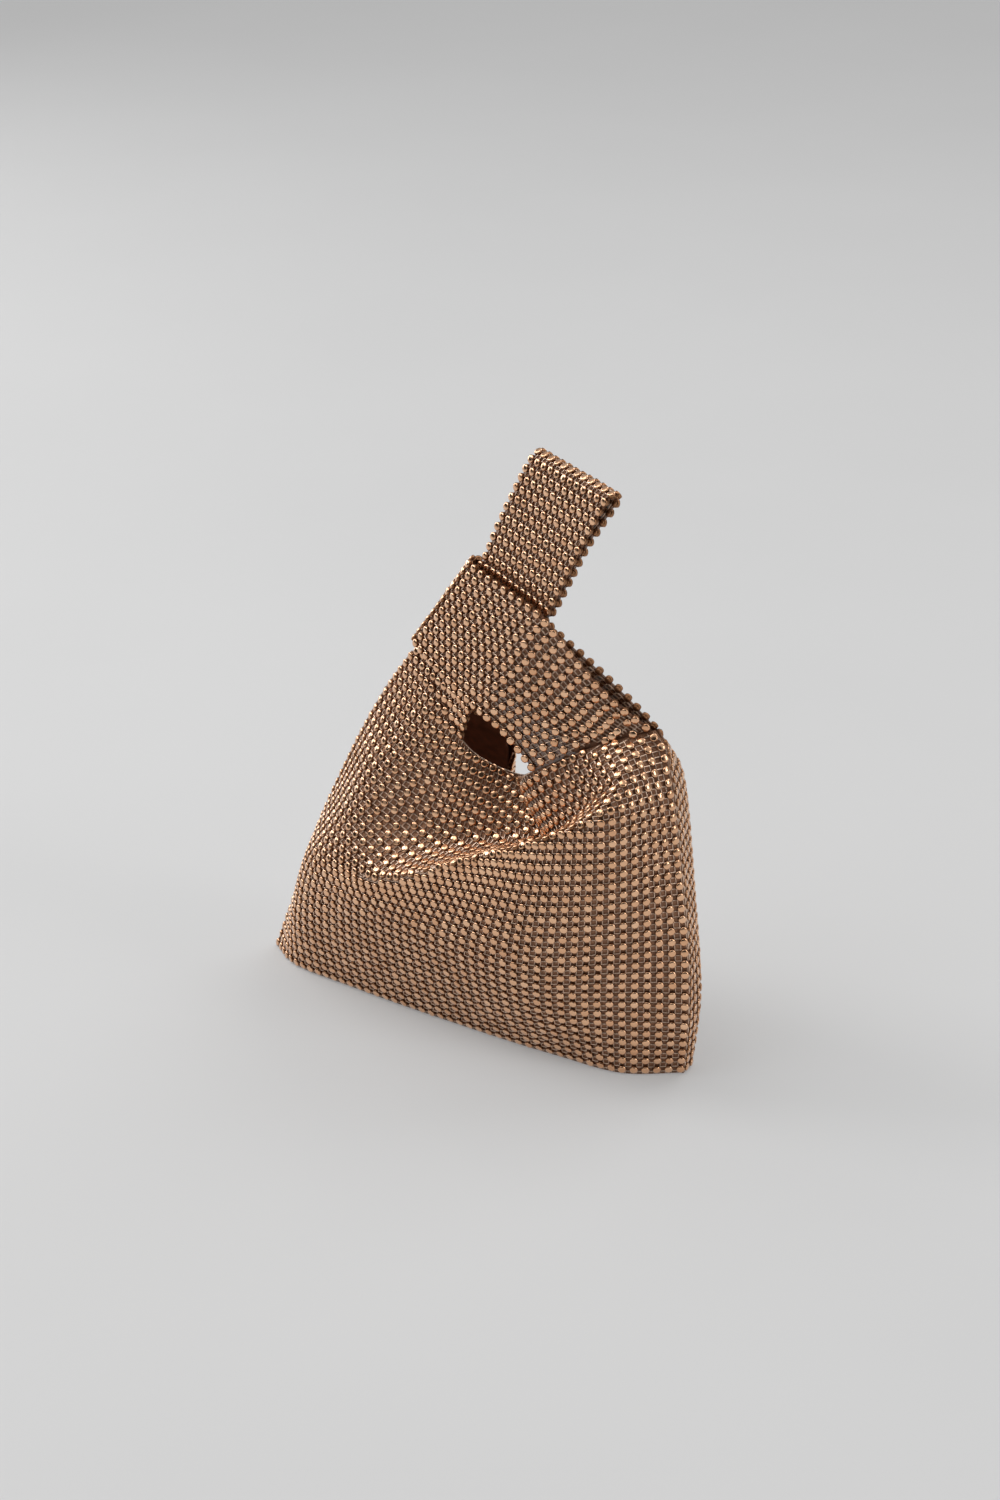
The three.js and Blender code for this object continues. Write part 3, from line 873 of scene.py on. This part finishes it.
def lean_at_seams(inward):
    """Inward directions that turn to the bag's middle at the side seams."""
    for column, middle in ((0, 1), (-1, -1)):
        seam = panel_face(FRONT_RIBS, FRONT, np.linspace(0, 1, len(inward)), [STATIONS[column]])[:, 0]
        other = panel_face(BACK_RIBS, BACK, np.linspace(0, 1, len(inward)), [STATIONS[column]])[:, 0]
        half = np.abs(seam[:, 1] - other[:, 1]) / 2
        lean = np.clip((half - JOINT_GAP / 2) / WALL, 0, 1)[:, None]
        inward[:, column] = unit(np.array((middle, 0.0, 0.0)) * (1 - lean) + inward[:, column] * lean)
    return inward


SEWN_SLACK = 0.01


def panel_ground(ribs, facing, depth):
    """Grid of the ground cloth of a panel at a depth under its outer face, its columns turned to look out."""
    levels = np.linspace(0, 1, GROUND_LEVELS)
    places = np.linspace(-HALF_CLOTH, HALF_CLOTH, GROUND_PLACES)
    grid = panel_face(ribs, facing, levels, places)
    inward = lean_at_seams(-outward(grid, -facing))
    inward[0, :, 2] = 0
    inward = unit(inward)
    for strap in STRAPS:
        start = strap[2] * STEP
        sewn = (places >= start - SEWN_SLACK) & (places <= start + STRAP_WIDTH + SEWN_SLACK)
        inward[-1, sewn] = strap_joint(strap, facing, places[sewn])
    ground = grid + inward * depth
    return ground if facing == FRONT else ground[:, ::-1]


# Least share of a joint's direction that lies along a strap's own inward one
LEAST_JOINT = 0.5


def strap_joint(strap, facing, places):
    """Inward directions where a strap's end meets a panel's top, long enough to keep both cloths at depth."""
    rows, roundness, first_column = strap
    shares = (places - first_column * STEP) / STRAP_WIDTH
    loop, _ = loop_face(rows, roundness, first_column * STEP, shares, FINE_LOOP)
    ribs = FRONT_RIBS if facing == FRONT else BACK_RIBS
    panel = panel_face(ribs, facing, TOP_LEVELS, places)
    own = -outward(loop)[0 if facing == FRONT else -1]
    other = -outward(panel, -facing)[-1]
    middle = unit(own + other)
    return middle / np.maximum(np.sum(middle * own, axis=1, keepdims=True), LEAST_JOINT)


# Share of a strap's width at each edge where the stones stand past the ground cloth
STRAP_HEM = 0.03


def loop_ground(strap, depth):
    """Grid of the ground cloth of a strap at a depth under its outer face."""
    rows, roundness, first_column = strap
    shares = np.linspace(STRAP_HEM, 1 - STRAP_HEM, STRAP_GROUND_PLACES)
    places = first_column * STEP + shares * STRAP_WIDTH
    grid, _ = loop_face(rows, roundness, first_column * STEP, shares, STRAP_GROUND_ROWS)
    inward = -outward(grid)
    inward[0] = strap_joint(strap, FRONT, places)
    inward[-1] = strap_joint(strap, BACK, places)
    return grid + inward * depth


def build_mesh(context, name, lattice, ground, reverse=False, borders=()):
    """Ground cloth, net and stones of one panel or strap, in place of its solid; a reverse side that shows
    has a net and the backs of the cups."""
    look = context.scene.stone_mesh
    draw = np.random.default_rng(look.seed + sum(map(ord, name)))
    depth = look.ground_depth / MM
    width, height = look.wire_width / MM, look.wire_height / MM
    radius = look.stone_radius / MM
    cloth = cloth_object(f"{name}_ground", ground, look.ground_thickness)
    dress(cloth, MESH_SLOT, finish_of("strap_ground" if reverse else "ground_cloth", look))
    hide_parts(name)
    wires = net_parts(lattice, depth, width, height, open_edges=reverse)
    wires += [border_part(places, outs, depth, width, height) for places, outs in borders]
    places, outs = stone_sites(lattice, STONE_SPACING * radius)
    stone = stone_template(radius)
    stones = [stood_on(places, outs, stone, draw, look.stone_tilt)]
    shades = np.clip(draw.normal(TINT_MIDDLE, TINT_SPREAD, len(places)), 0, 1)
    tints = [np.repeat(shades, len(stone[0]))]
    if reverse:
        inner = depth + look.ground_thickness / MM
        wires += net_parts(lattice, inner, width, height, -1, open_edges=True)
        dome = dome_template(radius)
        stones.append(stood_on(places - outs * inner, -outs, dome, draw, 0.0))
        tints.append(np.zeros(len(places) * len(dome[0])))
    net = array_object(f"{name}_net", *join_parts(wires))
    select_only(net)
    bpy.ops.object.shade_smooth()
    dress(net, MESH_SLOT, finish_of("net_wire", look))
    set_stones = array_object(f"{name}_stones", *join_parts(stones))
    set_tint(set_stones, np.concatenate(tints))
    dress(set_stones, MESH_SLOT, finish_of("foiled_stone", look), finish_of("cup_metal_and_shade", look))


def neck_border(ribs, facing):
    """The edge wire of a neckline."""
    places = np.linspace(-NECK_PLACE, NECK_PLACE, BORDER_PLACES)
    grid = panel_face(ribs, facing, TOP_LEVELS, places)
    return [(grid[1], outward(grid, -facing)[1])]


class WRISTBAG_OT_panels(bpy.types.Operator):
    """Build the front and back panels of stone mesh"""

    bl_idname = "wristbag.panels"
    bl_label = "Panels"

    def execute(self, context):
        depth = context.scene.stone_mesh.ground_depth / MM
        build_mesh(
            context, "front_panel", FRONT_NET, panel_ground(FRONT_RIBS, FRONT, depth),
            borders=neck_border(FRONT_RIBS, FRONT))
        build_mesh(
            context, "back_panel", BACK_NET, panel_ground(BACK_RIBS, BACK, depth),
            borders=neck_border(BACK_RIBS, BACK))
        return {"FINISHED"}


class WRISTBAG_OT_straps(bpy.types.Operator):
    """Build the long and the short strap loop of stone mesh"""

    bl_idname = "wristbag.straps"
    bl_label = "Strap loops"

    def execute(self, context):
        depth = context.scene.stone_mesh.ground_depth / MM
        build_mesh(
            context, "long_handle", LONG_NET, loop_ground(STRAPS[0], depth),
            reverse=True)
        build_mesh(
            context, "short_handle", SHORT_NET, loop_ground(STRAPS[1], depth),
            reverse=True)
        return {"FINISHED"}


class WRISTBAG_OT_base(bpy.types.Operator):
    """Build the flat base of stone mesh"""

    bl_idname = "wristbag.base"
    bl_label = "Base"

    def execute(self, context):
        depth = context.scene.stone_mesh.ground_depth / MM
        low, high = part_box("base_panel")
        x = np.linspace(high[0] / MM, low[0] / MM, BASE_GROUND_PLACES)
        front, back = base_edges(x)
        share = np.linspace(0, 1, BASE_GROUND_ROWS)[:, None]
        y = front * (1 - share) + back * share
        ground = np.stack([np.broadcast_to(x, y.shape), y, np.full(y.shape, depth)], axis=-1)
        build_mesh(context, "base_panel", BASE_NET, ground)
        return {"FINISHED"}


class WRISTBAG_OT_lining(bpy.types.Operator):
    """Build the satin lining inside the bag"""

    bl_idname = "wristbag.lining"
    bl_label = "Lining"

    def execute(self, context):
        look = context.scene.stone_mesh
        levels = np.linspace(0, LINING_TOP_LEVEL, LINING_LEVELS)
        places = np.linspace(-HALF_CLOTH, HALF_CLOTH, LINING_PLACES)
        depth = WALL + LINING_GAP
        halves = []
        for ribs, facing in ((FRONT_RIBS, FRONT), (BACK_RIBS, BACK)):
            grid = panel_face(ribs, facing, levels, places)
            halves.append((grid, grid - outward(grid, -facing) * depth))
        (front, in_front), (back, in_back) = halves
        seams = []
        for column, middle in ((0, 1), (-1, -1)):
            edge = (front[:, column] + back[:, column]) / 2
            seams.append(edge + np.array((middle * (depth + SEAM_CLEARANCE), 0, 0)))
        wall = np.concatenate([
            seams[0][:, None], in_front[:, 1:-1], seams[1][:, None], in_back[:, -2:0:-1], seams[0][:, None],
        ], axis=1)
        wall[0, :, 2] = BASE_WALL + JOINT_GAP
        centre = wall[0].mean(axis=0)
        floor = [centre + (wall[0] - centre) * share for share in LINING_FLOOR_SHARES]
        lining = cloth_object(
            "satin_lining", np.concatenate([floor, wall]), LINING_THICKNESS * MM, closed=True)
        dress(lining, LINING_SLOT, finish_of("brown_satin", look))
        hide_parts("lining")
        return {"FINISHED"}


def add_softbox(name, place, target, size, power):
    """A large rectangular lamp that looks at a point."""
    bpy.ops.object.light_add(type="AREA", location=place)
    lamp = bpy.context.active_object
    lamp.name = name
    lamp.rotation_euler = (Vector(target) - Vector(place)).to_track_quat("-Z", "Y").to_euler()
    lamp.data.shape = "RECTANGLE"
    lamp.data.size, lamp.data.size_y = size
    lamp.data.energy = power


# Studio lamps: name, place and size in metres, power in watts
SOFTBOXES = (
    ("key_softbox", (-0.42, -0.58, 1.64), (1.2, 1.2), 8.0),
    ("spark_softbox", (-1.25, -0.5, 1.15), (0.6, 0.6), 6.5),
    ("back_softbox", (0.3, 1.0, 1.5), (1.2, 0.8), 6.0),
    ("side_softbox", (1.5, 0.1, 0.7), (0.4, 0.9), 3.8),
    ("left_softbox", (-1.6, 0.35, 0.5), (1.0, 0.8), 6.0),
)
FLOOR_SIZE = 40.0
FLOOR_GLOW = 0.55
FLOOR_GLOSS = (0.7, 0.8)
FLOOR_SHINE = 0.1

# Studio air: a tone all round, more overhead, and less to the left of the camera and behind it
AIR_TONE = 0.28
OVERHEAD_TONE = 0.26
OVERHEAD_FROM, OVERHEAD_TO = 0.3, 0.9
DARK_SIDES = (((-0.80, -0.58, 0.12), 0.85, 0.97), ((0.54, -0.75, 0.39), 0.80, 0.94))
DARK_SHARE = 0.92

# Camera: sensor width in mm, focal length and the aimed point's offset in the photo's pixels
SENSOR_WIDTH = 36.0
FOCAL_PIXELS = 3440.0
TARGET_OFFSET_PIXELS = (-15.0, -8.0)


def studio_air():
    """Light from all round: brighter overhead, and dark in the directions of the dark sides."""
    world = bpy.data.worlds.new("studio_air")
    world.use_nodes = True
    nodes, link = world.node_tree.nodes, world.node_tree.links.new
    direction = nodes.new("ShaderNodeTexCoord").outputs["Generated"]

    def share_towards(vector, start, end, low, high):
        nearness = nodes.new("ShaderNodeVectorMath")
        nearness.operation = "DOT_PRODUCT"
        nearness.inputs[1].default_value = vector
        link(direction, nearness.inputs[0])
        share = nodes.new("ShaderNodeMapRange")
        share.interpolation_type = "SMOOTHSTEP"
        for label, value in (("From Min", start), ("From Max", end), ("To Min", low), ("To Max", high)):
            share.inputs[label].default_value = value
        link(nearness.outputs["Value"], share.inputs["Value"])
        return share.outputs["Result"]

    tone = share_towards((0, 0, 1), OVERHEAD_FROM, OVERHEAD_TO, AIR_TONE, AIR_TONE + OVERHEAD_TONE)
    for side, start, end in DARK_SIDES:
        dimming = share_towards(side, start, end, 1.0, 1 - DARK_SHARE)
        tone = math_node(nodes, link, "MULTIPLY", tone, dimming)
    link(tone, nodes["Background"].inputs["Strength"])
    nodes["Background"].inputs["Color"].default_value = (1, 1, 1, 1)
    return world


class WRISTBAG_OT_stage(bpy.types.Operator):
    """Build the floor, the studio light and the camera"""

    bl_idname = "wristbag.stage"
    bl_label = "Stage"

    def execute(self, context):
        look = context.scene.bag_stage
        scene = context.scene
        bpy.ops.object.select_all(action="DESELECT")
        bpy.ops.mesh.primitive_plane_add(size=FLOOR_SIZE, location=(0, 0, 0))
        floor = context.active_object
        floor.name = floor.data.name = "studio_floor"
        material, nodes, link, shader = new_material("pale_floor")
        _, grain = mottled(nodes, link, FLOOR_GRAIN, FLOOR_GLOSS, look.floor_colour, FLOOR_UNEVEN)
        link(grain.outputs["Color"], shader.inputs["Base Color"])
        link(grain.outputs["Roughness"], shader.inputs["Roughness"])
        link(grain.outputs["Color"], shader.inputs["Emission Color"])
        shader.inputs["Emission Strength"].default_value = FLOOR_GLOW
        shader.inputs["Specular IOR Level"].default_value = FLOOR_SHINE
        floor.data.materials.append(material)
        target = Vector((0, 0, look.target_height))
        for name, place, size, power in SOFTBOXES:
            add_softbox(name, place, target, size, power * look.light_power)
        scene.world = studio_air()
        turn, rise = look.camera_azimuth, look.camera_elevation
        back = Vector((math.sin(turn) * math.cos(rise), -math.cos(turn) * math.cos(rise), math.sin(rise)))
        right = Vector((math.cos(turn), math.sin(turn), 0))
        up = back.cross(right)
        step = look.camera_distance / FOCAL_PIXELS
        place = target + back * look.camera_distance
        place -= right * TARGET_OFFSET_PIXELS[0] * step + up * TARGET_OFFSET_PIXELS[1] * step
        bpy.ops.object.camera_add(location=place)
        camera = context.active_object
        camera.name = "photo_camera"
        camera.rotation_euler = Matrix((right, up, back)).transposed().to_euler()
        camera.data.lens = look.lens
        camera.data.sensor_width = SENSOR_WIDTH
        scene.camera = camera
        scene.view_settings.view_transform = "Standard"
        return {"FINISHED"}


class WRISTBAG_PT_panel(bpy.types.Panel):
    """Sizes, colours and building steps of the wrist bag"""

    bl_idname = "WRISTBAG_PT_panel"
    bl_label = "Wrist Bag"
    bl_space_type = "VIEW_3D"
    bl_region_type = "UI"
    bl_category = "Wrist Bag"

    def draw(self, context):
        for settings in (context.scene.stone_mesh, context.scene.bag_stage):
            box = self.layout.box()
            for name in settings.__annotations__:
                box.prop(settings, name)
        for operator in STEPS:
            self.layout.operator(operator.bl_idname)


STEPS = (
    WRISTBAG_OT_panels,
    WRISTBAG_OT_straps,
    WRISTBAG_OT_base,
    WRISTBAG_OT_lining,
    WRISTBAG_OT_stage,
)
CLASSES = (StoneMeshProperties, BagStageProperties, *STEPS, WRISTBAG_PT_panel)


def register():
    for cls in CLASSES:
        bpy.utils.register_class(cls)
    bpy.types.Scene.stone_mesh = PointerProperty(type=StoneMeshProperties)
    bpy.types.Scene.bag_stage = PointerProperty(type=BagStageProperties)


def unregister():
    del bpy.types.Scene.bag_stage
    del bpy.types.Scene.stone_mesh
    for cls in reversed(CLASSES):
        bpy.utils.unregister_class(cls)


def main():
    register()
    bpy.ops.wristbag.stage()
    bpy.ops.wristbag.panels()
    bpy.ops.wristbag.straps()
    bpy.ops.wristbag.base()
    bpy.ops.wristbag.lining()


if __name__ == "__main__":
    main()
